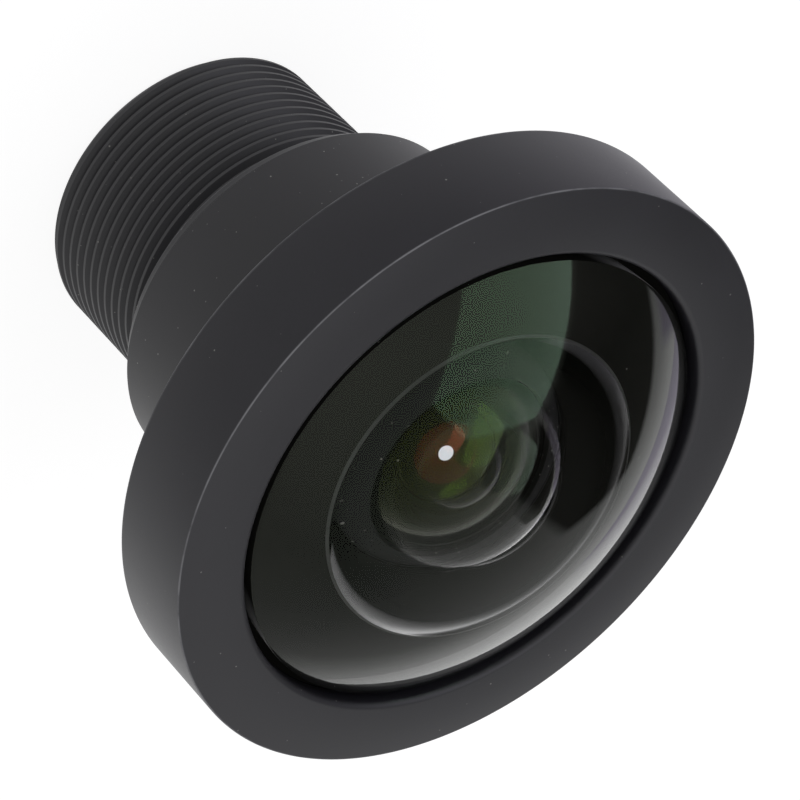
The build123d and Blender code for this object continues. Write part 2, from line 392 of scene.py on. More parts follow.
def grain_group():
    """Fine grain of anodised metal: a value round 0 that shades colour and roughness, and a bump height."""
    tree, w, given, out = new_group(
        "fine_grain",
        "ShaderNodeTree",
        numbers(Grain_Scale=9000.0, Cloud_Scale=260.0, Cloud_Share=0.5),
        [("Value", "NodeSocketFloat"), ("Height", "NodeSocketFloat")],
    )
    middle = 0.5
    place = w.add("ShaderNodeTexCoord").outputs["Object"]
    fine = w.fill(w.add("ShaderNodeTexNoise", place), Scale=given["Grain Scale"], Detail=2.0)
    cloud = w.fill(w.add("ShaderNodeTexNoise", place), Scale=given["Cloud Scale"], Detail=3.0)
    fine_value = w.math("SUBTRACT", fine.outputs["Fac"], middle)
    cloud_value = w.math("SUBTRACT", cloud.outputs["Fac"], middle)
    part = w.math("MULTIPLY", cloud_value, given["Cloud Share"])
    rest = w.math("MULTIPLY", fine_value, w.math("SUBTRACT", 1.0, given["Cloud Share"]))
    w.put(out["Value"], w.math("ADD", part, rest))
    w.put(out["Height"], fine.outputs["Fac"])
    return tree


def edge_group():
    """A mask along one turned edge, broken up by noise: the edge is a circle of a radius and a height."""
    tree, w, given, out = new_group(
        "turned_edge_wear_and_highlight",
        "ShaderNodeTree",
        numbers(Radius=10 * MM, Height=0.0, Width=0.1 * MM, Breakup_Scale=900.0, Breakup=0.5),
        [("Mask", "NodeSocketFloat")],
    )
    contrast = 2.0
    place = w.add("ShaderNodeTexCoord").outputs["Object"]
    xyz = w.add("ShaderNodeSeparateXYZ", place).outputs
    flat = w.add("ShaderNodeCombineXYZ", xyz["X"], xyz["Y"], 0.0).outputs[0]
    radius = w.add("ShaderNodeVectorMath", flat, operation="LENGTH").outputs["Value"]
    off = w.add(
        "ShaderNodeCombineXYZ",
        w.math("SUBTRACT", radius, given["Radius"]),
        w.math("SUBTRACT", xyz["Z"], given["Height"]),
        0.0,
    ).outputs[0]
    distance = w.add("ShaderNodeVectorMath", off, operation="LENGTH").outputs["Value"]
    near = w.math("SUBTRACT", 1.0, w.math("DIVIDE", distance, given["Width"]))
    near = w.math("MAXIMUM", near, 0.0)
    noise = w.fill(w.add("ShaderNodeTexNoise", place), Scale=given["Breakup Scale"], Detail=4.0)
    broken = w.math("SUBTRACT", w.math("MULTIPLY", noise.outputs["Fac"], contrast), given["Breakup"])
    broken = w.math("MINIMUM", w.math("MAXIMUM", broken, 0.0), 1.0)
    strong = w.math("MULTIPLY", near, w.math("MULTIPLY", broken, contrast))
    w.put(out["Mask"], w.math("MINIMUM", strong, 1.0))
    return tree


def dust_group():
    """Scattered specks: a mask of small dots, one for each chosen cell of a cell pattern."""
    tree, w, given, out = new_group(
        "dust_specks",
        "ShaderNodeTree",
        numbers(Cell_Scale=3600.0, Chosen_Share=0.3, Speck_Size=0.1),
        [("Mask", "NodeSocketFloat")],
    )
    least_size = 0.3
    place = w.add("ShaderNodeTexCoord").outputs["Object"]
    cells = w.fill(w.add("ShaderNodeTexVoronoi", place), Scale=given["Cell Scale"])
    chance = w.add("ShaderNodeSeparateColor", cells.outputs["Color"]).outputs
    chosen = w.math("LESS_THAN", chance["Red"], given["Chosen Share"])
    size = w.math("MULTIPLY", given["Speck Size"], w.math("ADD", chance["Green"], least_size))
    speck = w.math("LESS_THAN", cells.outputs["Distance"], size)
    w.put(out["Mask"], w.math("MULTIPLY", w.math("MULTIPLY", speck, chosen), chance["Blue"]))
    return tree


def shared(name, build):
    """A node group that is built the first time it is asked for."""
    return bpy.data.node_groups.get(name) or build()


# Materials

# Height that the bump gives the grain of the metal
GRAIN_HEIGHT = 1.5 * MICRON

# Ink behind glass: the span in Y of its painted shade, the span in X of its mirror's painted shade, where
# the mirror sets in, and the mirror's level
INK_PAINTED_SHADE_SPAN = (-8 * MM, 0.0)
INK_PAINTED_MIRROR_SPAN = (-4 * MM, 4 * MM)
INK_MIRROR_SPAN = (0.05, 0.35)
INK_BRIGHTEST = 0.9


def blank_nodes(owner):
    """The wiring of a material or world whose nodes are still to be made."""
    owner.use_nodes = True
    owner.node_tree.nodes.clear()
    return Wiring(owner.node_tree)


def new_material(name):
    """A node material with one Principled shader: the material, its wiring and the shader."""
    material = bpy.data.materials.new(name)
    w = blank_nodes(material)
    shader = w.add("ShaderNodeBsdfPrincipled")
    w.fill(w.add("ShaderNodeOutputMaterial"), Surface=shader.outputs[0])
    return material, w, shader


def mixed(w, amount, below, above):
    """One colour over another by a mask."""
    node = w.add("ShaderNodeMix", data_type="RGBA")
    w.put(node.inputs["Factor"], amount)
    for socket, value in zip([s for s in node.inputs if s.type == "RGBA"], (below, above)):
        w.put(socket, (*value, 1.0) if isinstance(value, (tuple, list)) else value)
    return next(s for s in node.outputs if s.type == "RGBA")


def finish():
    """The colours in use."""
    return bpy.context.scene.lens_finish


def grained(w, shader, base, mottle, roughness, unevenness, bump=0.0, lit=None, **scale):
    """A base colour that the grain shades by the share mottle, while it moves the roughness by unevenness.

    A bump above zero lets the grain stand up, and lit is a level of painted light and shade that brightens
    or darkens the colour by its place.
    """
    grain = w.group(shared("fine_grain", grain_group), **scale).outputs
    shade = w.math("MULTIPLY_ADD", grain["Value"], mottle, 1.0)
    if lit is not None:
        shade = w.math("MULTIPLY", shade, lit)
    w.fill(shader, Roughness=w.math("MULTIPLY_ADD", grain["Value"], unevenness, roughness))
    if bump:
        raised = w.add("ShaderNodeBump")
        w.fill(raised, Height=grain["Height"], Distance=GRAIN_HEIGHT, Strength=bump)
        w.fill(shader, Normal=raised.outputs[0])
    return w.add("ShaderNodeVectorMath", shade, list(base), operation="MULTIPLY").outputs[0]


def dusted(w, below, strength, **sizes):
    """Specks of dust over a colour. The sizes are the inputs of the dust's group."""
    specks = w.group(shared("dust_specks", dust_group), **sizes).outputs["Mask"]
    return mixed(w, w.math("MULTIPLY", specks, strength), below, tuple(finish().dust))


def black_metal(name, edges=(), roughness=0.42, dust_share=0.25, tone=1.0, sheen=0.5):
    """Black anodised metal with grain, dust and pale edges, each edge given as (radius, height, width): part
    wear, part painted highlight.
    """
    material, w, shader = new_material(name)
    base = [c * tone for c in finish().anodised]
    tinted = grained(w, shader, base, mottle=0.7, roughness=roughness, unevenness=0.12, bump=0.6)
    # Pale bands along the given edges: part wear, part painted highlight where the edges catch light
    wear_and_highlight = 0.0
    for radius, height, width in edges:
        mask = w.group(shared("turned_edge_wear_and_highlight", edge_group), Radius=radius, Height=height, Width=width)
        wear_and_highlight = w.math("MAXIMUM", mask.outputs["Mask"], wear_and_highlight)
    worn_and_highlit = mixed(w, wear_and_highlight, tinted, tuple(finish().worn_and_highlit))
    dusty = dusted(w, worn_and_highlit, strength=0.6, Chosen_Share=dust_share)
    w.fill(shader, Base_Color=dusty, Specular_IOR_Level=sheen)
    return material


def shim_black(name):
    """Matt black shim with dust that shows through the glass."""
    material, w, shader = new_material(name)
    base = grained(
        w, shader, finish().shim, mottle=0.6, roughness=0.6, unevenness=0.2, Grain_Scale=14000.0
    )
    dusty = dusted(w, base, strength=0.5, Cell_Scale=4200.0, Chosen_Share=0.4, Speck_Size=0.2)
    w.fill(shader, Base_Color=dusty, Specular_IOR_Level=0.2)
    return material


def seal_rubber(name):
    """Black rubber with a faint mottle."""
    material, w, shader = new_material(name)
    base = grained(
        w, shader, finish().rubber, mottle=0.8, roughness=0.55, unevenness=0.2, Grain_Scale=5000.0
    )
    w.fill(shader, Base_Color=base)
    return material


def ground_glass(name):
    """The pale ground bevels of the glass."""
    material, w, shader = new_material(name)
    base = grained(
        w, shader, finish().ground, mottle=1.2, roughness=0.7, unevenness=0.2, Grain_Scale=16000.0
    )
    w.fill(shader, Base_Color=base)
    return material


def coated_glass(name, index, coat):
    """Polished glass whose coating weakens and tints its reflection. It casts no shadow."""
    material, w, shader = new_material(name)
    shadow = w.add("ShaderNodeLightPath").outputs["Is Shadow Ray"]
    w.fill(
        shader, Transmission_Weight=1.0, IOR=index, Specular_Tint=(*coat, 1.0), Roughness=0.0,
        Base_Color=(*WHITE, 1.0), Alpha=w.math("SUBTRACT", 1.0, shadow),
    )
    return material


def inked_glass(name, index, roughness=0.05, painted_mirror_shade=0.0, tone=1.0, painted_shade=1.0):
    """Glass painted black: dark from straight on, and a mirror at the low angles where glass meets ink.

    The ink's colour falls from its tone towards +Y, a painted shade, and its mirror is weaker towards -X, a
    painted shade on the reflection.
    """
    material, w, shader = new_material(name)
    place = w.add("ShaderNodeSeparateXYZ", w.add("ShaderNodeTexCoord").outputs["Object"]).outputs
    # Painted shade: the ink is darker towards +Y, fixed to the piece whatever the light
    lit = w.ramp(place["Y"], *INK_PAINTED_SHADE_SPAN, tone, tone * painted_shade)
    base = grained(
        w, shader, finish().ink, mottle=0.2, roughness=roughness, unevenness=0.02, lit=lit,
        Grain_Scale=6000.0,
    )
    dusty = dusted(w, base, strength=0.3, Cell_Scale=3000.0, Chosen_Share=0.05, Speck_Size=0.12)
    mirror = w.ramp(w.add("ShaderNodeFresnel", index).outputs[0], *INK_MIRROR_SPAN)
    # Painted shade on the reflection: the mirror is weaker towards -X
    painted_mirror_level = w.ramp(place["X"], *INK_PAINTED_MIRROR_SPAN, INK_BRIGHTEST * (1 - painted_mirror_shade), INK_BRIGHTEST)
    silver = w.add("ShaderNodeCombineColor", painted_mirror_level, painted_mirror_level, painted_mirror_level).outputs[0]
    w.fill(shader, Base_Color=mixed(w, mirror, dusty, silver), Metallic=mirror, Specular_IOR_Level=0.0)
    return material


# Mesh

def rounded(before, corner, after, radius, steps=4):
    """The points of an arc that rounds one corner of an outline."""
    to_before = (before - corner).normalized()
    to_after = (after - corner).normalized()
    half = to_before.angle(to_after) / 2
    reach = radius / math.tan(half)
    centre = corner + (to_before + to_after).normalized() * (radius / math.sin(half))
    start = (corner + to_before * reach - centre).normalized()
    end = (corner + to_after * reach - centre).normalized()
    return [centre + start.slerp(end, i / steps) * radius for i in range(steps + 1)]


def outline(*corners):
    """An outline of (radius, height) corners. A corner with a third value is rounded by that radius."""
    flat = [Vector(c[:2]) for c in corners]
    points = []
    for i, corner in enumerate(corners):
        if len(corner) > 2:
            points += rounded(flat[i - 1], flat[i], flat[i + 1], corner[2])
        else:
            points.append(flat[i])
    return points


def dome(clear, rim_height, bulge, steps=40):
    """A spherical surface in section, from the axis out to its rim. A bulge below zero faces the rear."""
    sphere = (clear ** 2 + bulge ** 2) / (2 * abs(bulge))
    widest = math.asin(clear / sphere)
    points = []
    for i in range(steps + 1):
        angle = widest * i / steps
        drop = sphere * (1 - math.cos(angle))
        points.append(Vector((sphere * math.sin(angle), rim_height + bulge - math.copysign(drop, bulge))))
    return points


def turn(bm, points, material=0, closed=False):
    """Turns an outline of (radius, height) points round. A point on the axis becomes one vertex."""
    segments = bpy.context.scene.lens_thread.segments
    angles = [math.tau * i / segments for i in range(segments)]
    on_axis = MICRON / 10
    rings = []
    for radius, height in points:
        if radius < on_axis:
            rings.append([bm.verts.new((0.0, 0.0, height))])
            continue
        places = [(radius * math.cos(a), radius * math.sin(a), height) for a in angles]
        rings.append([bm.verts.new(place) for place in places])
    pairs = list(zip(rings, rings[1:]))
    if closed:
        pairs.append((rings[-1], rings[0]))
    for lower, upper in pairs:
        for i in range(segments):
            corners = [lower[i % len(lower)], lower[(i + 1) % len(lower)]]
            corners += [upper[(i + 1) % len(upper)], upper[i % len(upper)]]
            face = bm.faces.new(list(dict.fromkeys(corners)))
            face.material_index = material


def mesh_from(name, bm, materials=()):
    """Turns what was built into a mesh with its materials."""
    mesh = bpy.data.meshes.new(name)
    bm.to_mesh(mesh)
    bm.free()
    for material in materials:
        mesh.materials.append(material)
    return mesh


def closed_mesh(name, bm, materials, crease=math.radians(25)):
    """Joins the walls of a piece, checks that it is closed, and smooths it up to its sharp edges."""
    bmesh.ops.remove_doubles(bm, verts=bm.verts, dist=MICRON / 2)
    gaps = [e for e in bm.edges if len(e.link_faces) != 2]
    if gaps:
        raise RuntimeError(f"{name} isn't closed: {len(gaps)} edges, the first at {gaps[0].verts[0].co[:]}")
    bmesh.ops.recalc_face_normals(bm, faces=bm.faces)
    for face in bm.faces:
        face.smooth = True
    for edge in bm.edges:
        edge.smooth = edge.calc_face_angle(0.0) < crease
    return mesh_from(name, bm, materials)


def added(name, data):
    """A new object in the scene."""
    made = bpy.data.objects.new(name, data)
    bpy.context.scene.collection.objects.link(made)
    return made


def place(name, mesh, node, slot):
    """Puts a finished mesh in the scene: it stands for a node and rides on that node's body."""
    piece = added(name, mesh)
    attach(piece, body_of(frame["nodes"][node])[0])
    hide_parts(node)


def finish_piece(name, bm, materials, node, slot):
    """Closes what was built for a piece and puts it in the scene."""
    place(name, closed_mesh(name, bm, materials), node, slot)


def ring_piece(name, points, material, node, slot):
    """A piece that is one closed outline, turned."""
    bm = bmesh.new()
    turn(bm, points, closed=True)
    finish_piece(name, bm, [material], node, slot)


def add_thread(bm, crest_radius, low, high, side=1.0, lead_in=None, run_out=None):
    """Adds a helical sleeve to a piece: side is 1 for an outer thread and -1 for one in a bore."""
    sizes = bpy.context.scene.lens_thread
    given = {
        "Crest Radius": crest_radius,
        "Side": side,
        "Pitch": sizes.pitch,
        "Depth": sizes.depth,
        "Crest Share": sizes.crest_share,
        "Root Share": sizes.root_share,
        "Low": low,
        "High": high,
        "Lead In": sizes.lead_in if lead_in is None else lead_in,
        "Run Out": sizes.run_out if run_out is None else run_out,
        "Segments": sizes.segments,
    }
    tree = shared("helical_thread", thread_tree)
    carrier = added("thread_carrier", bpy.data.meshes.new("thread_carrier"))
    modifier = carrier.modifiers.new("thread", "NODES")
    modifier.node_group = tree
    for item in tree.interface.items_tree:
        if item.in_out == "INPUT" and item.name in given:
            modifier[item.identifier] = given[item.name]
    evaluated = carrier.evaluated_get(bpy.context.evaluated_depsgraph_get())
    sleeve = bpy.data.meshes.new_from_object(evaluated)
    carrier.modifiers.remove(modifier)
    bpy.data.objects.remove(carrier)
    bm.from_mesh(sleeve)
    bpy.data.meshes.remove(sleeve)


class Maker:
    """What every operator of this panel shares."""

    bl_options = {"REGISTER", "UNDO"}


class LENS_OT_barrel(Maker, Operator):
    """Makes the turned barrel with its mounting thread, its cup thread and the rear ring's thread"""

    bl_idname = "lens.barrel"
    bl_label = "Barrel"

    def execute(self, context):
        sizes = context.scene.lens_barrel
        thread = context.scene.lens_thread
        gap = context.scene.lens_inner_glass.seat_gap
        shoulder = sizes.thread_length + sizes.relief_width
        relief = sizes.crest_radius - sizes.relief_depth
        taper_top = shoulder + sizes.taper_length
        flange_back = rear("front_cap")
        cup_outer = rim("barrel")
        cup_inner = cup_outer - sizes.cup_wall
        cup_top = front("barrel")
        cup_floor = rear("flare_baffle") - gap
        second_bore = rim("second_element") + sizes.glass_fit
        second_seat = rear("second_element") - gap
        middle_bore = rim("front_spacer") + sizes.glass_fit
        web_rear = front("fourth_element") + gap
        web_front = rear("aperture_stop") - gap
        glass_bore = rim("fourth_element") + sizes.glass_fit
        body = sizes.body_radius
        line = sizes.taper_line
        soft = sizes.edge_round
        bm = bmesh.new()
        add_thread(
            bm, sizes.crest_radius, 0.0, sizes.thread_length,
            lead_in=sizes.lead_in, run_out=sizes.relief_depth,
        )
        add_thread(bm, cup_outer, flange_back, cup_top)
        add_thread(bm, sizes.rear_bore, 0.0, sizes.rear_bore_length, side=-1.0)
        outside = outline(
            (relief, sizes.thread_length),
            (relief, shoulder - sizes.relief_width / 2),
            (sizes.root_radius, shoulder),
            (body - sizes.taper_depth, shoulder, soft),
            (body - line, taper_top - line),
            (body - line, taper_top),
            (body, taper_top + line),
            (body, flange_back),
            (cup_outer - thread.lead_in, flange_back),
        )
        inside = outline(
            (cup_outer - thread.run_out, cup_top),
            (cup_inner, cup_top),
            (cup_inner, cup_floor),
            (second_bore, cup_floor),
            (second_bore, second_seat),
            (middle_bore, second_seat),
            (middle_bore, web_front),
            (sizes.web_bore, web_front),
            (sizes.web_bore, web_rear),
            (glass_bore, web_rear),
            (glass_bore, sizes.rear_bore_length),
            (sizes.rear_bore + thread.run_out, sizes.rear_bore_length),
        )
        end = outline((sizes.rear_bore + thread.lead_in, 0.0), (sizes.crest_radius - sizes.lead_in, 0.0))
        for points in (outside, inside, end):
            turn(bm, points)
        # Pale bands at the shoulder and at the rear end of the thread: part wear, part painted highlight
        shoulder_wear_and_highlight, end_wear_and_highlight = 0.09 * MM, 0.12 * MM
        edges = [
            (body - sizes.taper_depth, shoulder, shoulder_wear_and_highlight),
            (sizes.crest_radius - sizes.lead_in, 0.0, end_wear_and_highlight),
        ]
        metal = black_metal(
            "barrel_anodised", edges, roughness=0.45, dust_share=0.35, tone=0.72, sheen=0.72
        )
        finish_piece("barrel_turned", bm, [metal], "barrel", "black_anodised")
        return {"FINISHED"}


class LENS_OT_cap(Maker, Operator):
    """Makes the screw-on ring that is the flange's side and face"""

    bl_idname = "lens.cap"
    bl_label = "Front cap"

    def execute(self, context):
        sizes = context.scene.lens_cap
        thread = context.scene.lens_thread
        back = rear("front_cap")
        face = front("front_cap")
        outer = rim("front_cap")
        lip = bore("front_cap")
        lip_rear = face - sizes.lip
        face_outer = face - sizes.rise
        bm = bmesh.new()
        add_thread(bm, sizes.thread_radius, back, lip_rear, side=-1.0)
        walls = outline(
            (sizes.thread_radius + thread.run_out, lip_rear),
            (lip, lip_rear),
            (lip, face, sizes.lip_round),
            (outer, face_outer, sizes.edge_round),
            (outer, back + sizes.back_bevel, sizes.edge_round / 3),
            (outer - sizes.back_bevel, back, sizes.edge_round / 3),
            (sizes.thread_radius + thread.lead_in, back),
        )
        turn(bm, walls)
        # Pale bands round the face's outer edge and the back bevel: part wear, part painted highlight
        face_wear_and_highlight, back_wear_and_highlight = 0.05 * MM, 0.14 * MM
        edges = [
            (outer - sizes.edge_round / 2, face_outer, face_wear_and_highlight),
            (outer - sizes.back_bevel / 2, back + sizes.back_bevel / 2, back_wear_and_highlight),
        ]
        metal = black_metal("cap_anodised", edges, roughness=0.42, dust_share=0.12, sheen=0.62)
        finish_piece("front_cap_turned", bm, [metal], "front_cap", "black_anodised")
        return {"FINISHED"}


class LENS_OT_front_glass(Maker, Operator):
    """Makes the front element: a high dome, a stepped edge and a deep hollow with a ground bevel"""

    bl_idname = "lens.front_glass"
    bl_label = "Front element"

    def execute(self, context):
        sizes = context.scene.lens_front_glass
        colours = finish()
        edge = rim("front_element")
        apex = front("front_element")
        back = rear("front_element")
        hollow_height = apex - sizes.centre_thickness - back
        index = colours.front_index
        materials = [
            coated_glass("dome_coating", index, colours.dome_coat),
            coated_glass("hollow_coating", index, colours.hollow_coat),
            ground_glass("front_ground_bevel"),
            inked_glass("front_edge_ink", colours.ink_index),
            # The ink behind the dome has painted shade: darker towards +Y, with its mirror weaker towards -X
            inked_glass(
                "front_back_ink", colours.ink_index, roughness=0.3, painted_mirror_shade=0.75, tone=5.0, painted_shade=0.24
            ),
        ]
        surface, hollow, ground, ink, matt_ink = range(len(materials))
        bm = bmesh.new()
        turn(bm, dome(sizes.rim_radius, sizes.rim_height, apex - sizes.rim_height, steps=72), surface)
        wall = outline(
            (sizes.rim_radius, sizes.rim_height),
            (sizes.wall_radius, sizes.rim_height - sizes.rim_bevel),
            (sizes.wall_radius, sizes.ledge_height),
            (edge, sizes.ledge_height),
            (edge, back),
        )
        turn(bm, wall, ink)
        cut = dome(sizes.mouth_radius, back, hollow_height, steps=56)
        low_cut = [p for p in cut if p[1] > back + sizes.mouth_bevel]
        mouth = Vector((sizes.mouth_radius + sizes.mouth_bevel, back))
        turn(bm, [wall[-1], mouth], matt_ink)
        turn(bm, [mouth, low_cut[-1]], ground)
        turn(bm, low_cut, hollow)
        finish_piece("front_glass", bm, materials, "front_element", "front_glass")
        return {"FINISHED"}


def inner_element(name, node, front_face, rear_face, coats):
    """One inner element. Each face is (clear radius, height of its rim, height on the axis)."""
    index = finish().inner_index
    edge = rim(node)
    bevel = bpy.context.scene.lens_inner_glass.ground_bevel
    materials = [
        coated_glass(f"{name}_front_coating", index, coats[0]),
        coated_glass(f"{name}_rear_coating", index, coats[1]),
        inked_glass(f"{name}_edge_ink", finish().inner_ink_index, roughness=0.3, tone=0.4),
    ]
    coated_front, coated_rear, ink = range(len(materials))
    faces = ((front_face, coated_front, -bevel), (rear_face, coated_rear, bevel))
    bm = bmesh.new()
    rims = []
    for (clear, height, pole), coat, inward in faces:
        bulge = pole - height
        surface = dome(clear, height, bulge) if bulge else [(0.0, height), (clear, height)]
        turn(bm, surface, coat)
        seat = (edge - bevel, height)
        if clear < edge - bevel - MICRON:
            turn(bm, [(clear, height), seat], ink)
        else:
            seat = (clear, height)
        rims.append((edge, height + inward))
        turn(bm, [seat, rims[-1]], ink)
    turn(bm, rims, ink)
    finish_piece(name, bm, materials, node, "inner_glass")


class LENS_OT_inner_glass(Maker, Operator):
    """Makes the six elements behind the front one, each with its coatings, bevels and black edge"""

    bl_idname = "lens.inner_glass"
    bl_label = "Inner elements"

    def execute(self, context):
        sizes = context.scene.lens_inner_glass
        colours = finish()
        green, amber, red = colours.inner_coat, colours.hollow_coat, colours.red_coat
        third_clear = bore("stop_spacer") - context.scene.lens_barrel.glass_fit
        clear = bore("rear_spacer")
        edge = rim("doublet_crown") - sizes.ground_bevel
        cement = front("doublet_flint")
        cement_bulge = (rear("doublet_crown") - cement) * (edge / rim("doublet_crown")) ** 2
        flint_top = cement - sizes.cement_gap
        elements = (
            (
                "second_glass", "second_element",
                (sizes.second_clear, rear("flare_baffle"), front("second_element")),
                (sizes.second_mouth, rear("second_element"), front("second_element") - sizes.second_centre),
                (green, amber),
            ),
            (
                "third_glass", "third_element",
                (third_clear, rear("front_spacer"), front("third_element")),
                (third_clear, front("stop_spacer"), rear("third_element")),
                (red, green),
            ),
            (
                "fourth_glass", "fourth_element",
                (clear, front("fourth_element"), front("fourth_element")),
                (clear, front("rear_spacer"), rear("fourth_element")),
                (green, amber),
            ),
            (
                "crown_glass", "doublet_crown",
                (clear, rear("rear_spacer"), front("doublet_crown")),
                (edge, cement, cement + cement_bulge),
                (amber, green),
            ),
            (
                "flint_glass", "doublet_flint",
                (edge, flint_top, flint_top + cement_bulge),
                (clear, rear("doublet_flint"), rear("doublet_flint")),
                (green, amber),
            ),
            (
                "field_glass", "field_element",
                (clear, rear("field_spacer"), front("field_element")),
                (clear, rear("field_element"), rear("field_element")),
                (green, green),
            ),
        )
        for element in elements:
            inner_element(*element)
        return {"FINISHED"}


def plain_ring(name, node, slot, material):
    """A plain ring that keeps the sizes of its node, less the seat gap at both ends."""
    gap = bpy.context.scene.lens_inner_glass.seat_gap
    low, high, outer, inner = rear(node) + gap, front(node) - gap, rim(node), bore(node)
    corners = outline((inner, low), (outer, low), (outer, high), (inner, high))
    ring_piece(name, corners, material, node, slot)


class LENS_OT_spacers(Maker, Operator):
    """Makes the spacers, the shims, the fixed stop and the rear washer"""

    bl_idname = "lens.spacers"
    bl_label = "Spacers, shims and stop"

    def execute(self, context):
        metal = black_metal("spacer_anodised", roughness=0.6, dust_share=0.1, tone=0.1, sheen=0.02)
        shim = shim_black("shim_black")
        shims = {"flare_shim": "flare_baffle", "lip_gasket": "front_gasket", "slip_washer": "rear_washer"}
        rings = {"stop_ring": "stop_spacer", "rear_group_ring": "rear_spacer", "field_ring": "field_spacer"}
        for name, node in shims.items():
            plain_ring(name, node, "black_shim", shim)
        for name, node in rings.items():
            plain_ring(name, node, "spacer_black", metal)
        gap = context.scene.lens_inner_glass.seat_gap
        self.grooved_spacer(context.scene.lens_spacers, gap, metal)
        self.fixed_stop(context.scene.lens_spacers, gap, metal)
        return {"FINISHED"}

    def grooved_spacer(self, sizes, gap, metal):
        """The front spacer, with light-trap grooves in its bore."""
        low, high = rear("front_spacer") + gap, front("front_spacer") - gap
        outer, inner = rim("front_spacer"), bore("front_spacer")
        pitch = (high - low - 2 * sizes.groove_margin) / sizes.grooves
        walls = [(outer, low), (outer, high), (inner, high)]
        for step in range(sizes.grooves):
            top = high - sizes.groove_margin - step * pitch
            walls.append((inner, top))
            walls.append((inner + sizes.groove_depth, top - pitch / 2))
        walls += [(inner, low + sizes.groove_margin), (inner, low)]
        ring_piece("grooved_spacer", outline(*walls), metal, "front_spacer", "spacer_black")

    def fixed_stop(self, sizes, gap, metal):
        """The fixed stop, with a bevel behind its hole."""
        low, high, outer = rear("aperture_stop") + gap, front("aperture_stop"), rim("aperture_stop")
        hole = sizes.stop_hole
        walls = outline(
            (hole + sizes.stop_bevel, low),
            (outer, low),
            (outer, high),
            (hole, high),
            (hole, (low + high) / 2),
        )
        ring_piece("fixed_stop", walls, metal, "aperture_stop", "spacer_black")


class LENS_OT_seal(Maker, Operator):
    """Makes the round-section seal behind the edge of the front element"""

    bl_idname = "lens.seal"
    bl_label = "Seal"

    def execute(self, context):
        section = (front("front_o_ring") - rear("front_o_ring")) / 2
        middle = rim("front_o_ring") - section
        height = rear("front_o_ring") + section
        steps = 24
        angles = [math.tau * i / steps for i in range(steps)]
        circle = [(middle + section * math.cos(a), height + section * math.sin(a)) for a in angles]
        ring_piece("seal_ring", circle, seal_rubber("seal_rubber"), "front_o_ring", "seal_rubber")
        return {"FINISHED"}


class LENS_OT_rear_ring(Maker, Operator):
    """Makes the threaded rear ring with its spanner slots, and the filter in its recess"""

    bl_idname = "lens.rear_ring"
    bl_label = "Rear ring and filter"

    def execute(self, context):
        sizes = context.scene.lens_rear_ring
        gap = context.scene.lens_inner_glass.seat_gap
        low, high = rear("rear_retaining_ring"), front("rear_retaining_ring")
        outer, inner = rim("rear_retaining_ring"), bore("rear_retaining_ring")
        recess = front("ir_cut_filter")
        bm = bmesh.new()
        add_thread(bm, outer, low, high, lead_in=sizes.edge_break, run_out=sizes.edge_break)
        walls = outline(
            (outer - sizes.edge_break, high),
            (inner, high),
            (inner, recess),
            (sizes.recess_radius, recess),
            (sizes.recess_radius, low),
            (outer - sizes.edge_break, low),
        )
        turn(bm, walls)
        # Pale band round the outer rear edge: part wear, part painted highlight
        wear_and_highlight = 0.1 * MM
        metal = black_metal("rear_ring_anodised", [(outer, low, wear_and_highlight)], roughness=0.45, dust_share=0.2)
        ring = added("rear_ring_turned", closed_mesh("rear_ring_turned", bm, [metal]))
        cutter = self.slot_cutter(sizes, low, outer)
        modifier = ring.modifiers.new("spanner_slots", "BOOLEAN")
        modifier.operation = "DIFFERENCE"
        modifier.solver = "EXACT"
        modifier.object = cutter
        cut = bpy.data.meshes.new_from_object(ring.evaluated_get(context.evaluated_depsgraph_get()))
        ring.modifiers.remove(modifier)
        bpy.data.objects.remove(ring)
        bpy.data.objects.remove(cutter)
        place("rear_ring_slotted", cut, "rear_retaining_ring", "black_anodised")
        self.filter_disc(sizes, low, recess - gap)
        return {"FINISHED"}

    def slot_cutter(self, sizes, low, outer):
        """A bar for each slot, standing over the ring's wall from the filter's recess outwards."""
        bm = bmesh.new()
        over = 1.0 * MM
        start, stop = sizes.recess_radius - over / 4, outer + over
        for i in range(sizes.slots):
            bar = bmesh.ops.create_cube(bm, size=1.0)["verts"]
            scale = Matrix.Diagonal((stop - start, sizes.slot_width, sizes.slot_depth + over, 1.0))
            move = Matrix.Translation(((start + stop) / 2, 0.0, low + (sizes.slot_depth - over) / 2))
            turned = Matrix.Rotation(math.tau * i / sizes.slots, 4, "Z")
            bmesh.ops.transform(bm, matrix=turned @ move @ scale, verts=bar)
        return added("slot_cutter", mesh_from("slot_cutter", bm))

    def filter_disc(self, sizes, low, high):
        """The coated disc in the recess."""
        radius, bevel = rim("ir_cut_filter"), sizes.filter_bevel
        flat = radius - bevel
        materials = [
            coated_glass("filter_coating", finish().inner_index, finish().filter_coat),
            ground_glass("filter_edge"),
        ]
        coated, ground = range(len(materials))
        bm = bmesh.new()
        turn(bm, [(0.0, low), (flat, low)], coated)
        turn(bm, [(flat, low), (radius, low + bevel), (radius, high - bevel), (flat, high)], ground)
        turn(bm, [(flat, high), (0.0, high)], coated)
        finish_piece("filter_disc", bm, materials, "ir_cut_filter", "filter_glass")


# Stage

# The floor's greys, its plain glow, and its glow in a reflection along Y and through glass along X
FLOOR_GREY = (0.8, 0.8, 0.8, 1.0)
SHADOW_GREY = (0.25, 0.25, 0.25, 1.0)
FLOOR_GLOW = 0.885
MIRRORED_GLOW = (-30 * MM, 30 * MM, 0.2, 1.08)
THROUGH_GLOW = (-40 * MM, 40 * MM, 0.1, 2.9)

# Where the mirrored floor turns to the colour of the cloth, along X
CLOTH_SIDE = (-60 * MM, 0.0, 1.0, 0.0)

